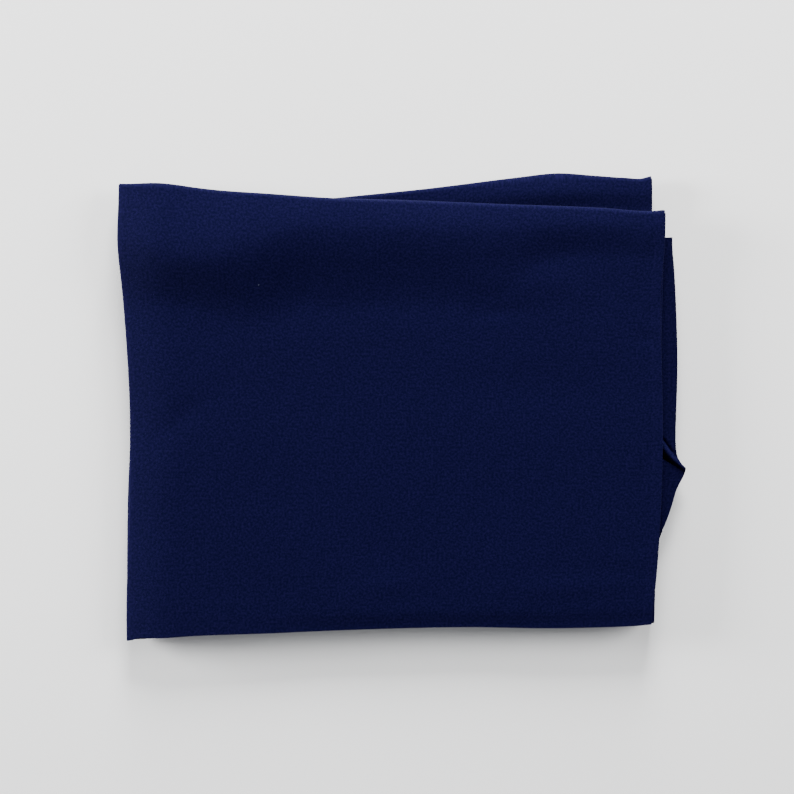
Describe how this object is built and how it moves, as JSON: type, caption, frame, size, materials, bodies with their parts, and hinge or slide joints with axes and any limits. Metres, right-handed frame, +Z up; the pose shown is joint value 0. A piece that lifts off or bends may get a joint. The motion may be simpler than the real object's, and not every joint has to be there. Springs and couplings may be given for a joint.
{
  "type": "folded fabric length",
  "caption": "Folded length of plain navy dress cloth, doubled across its width and fan-folded along its length, with leaves that open at the creases.",
  "frame": {"origin": "on the surface that the cloth rests on, under the middle of its outline", "axes": "+X across the folded width towards the selvedges, +Y along the cloth towards the back creases, +Z up through the leaves"},
  "size_m": [0.3864, 0.3208, 0.0165],
  "materials": {
    "cloth": "matt navy crepe weave"
  },
  "bodies": {
    "bottom_leaf": {"leaf_1": "cloth", "fold_1": "cloth"},
    "second_leaf": {"leaf_2": "cloth", "fold_2": "cloth"},
    "third_leaf": {"leaf_3": "cloth", "fold_3": "cloth"},
    "fourth_leaf": {"leaf_4": "cloth", "fold_4": "cloth"},
    "top_leaf": {"leaf_5": "cloth"}
  },
  "joints": [
    {"name": "crease_1", "type": "hinge", "parent": "bottom_leaf", "child": "second_leaf", "pos_m": [-0.00494, -0.14864, 0.00315], "axis": [0.9997, 0.0226, 0], "range_deg": [0, 180], "deforming": ["fold_1"]},
    {"name": "crease_2", "type": "hinge", "parent": "second_leaf", "child": "third_leaf", "pos_m": [-0.00569, 0.14701, 0.00655], "axis": [-0.9983, -0.0589, 0], "range_deg": [0, 180], "deforming": ["fold_2"]},
    {"name": "crease_3", "type": "hinge", "parent": "third_leaf", "child": "fourth_leaf", "pos_m": [-0.00524, -0.15314, 0.00995], "axis": [0.9997, 0.0225, 0], "range_deg": [0, 180], "deforming": ["fold_3"]},
    {"name": "crease_4", "type": "hinge", "parent": "fourth_leaf", "child": "top_leaf", "pos_m": [-0.00454, 0.14246, 0.01335], "axis": [-0.9987, 0.0514, 0], "range_deg": [0, 180], "deforming": ["fold_4"]}
  ],
  "couplings": [
    {"joint": "crease_2", "follows": "crease_1", "ratio": 1}
  ]
}
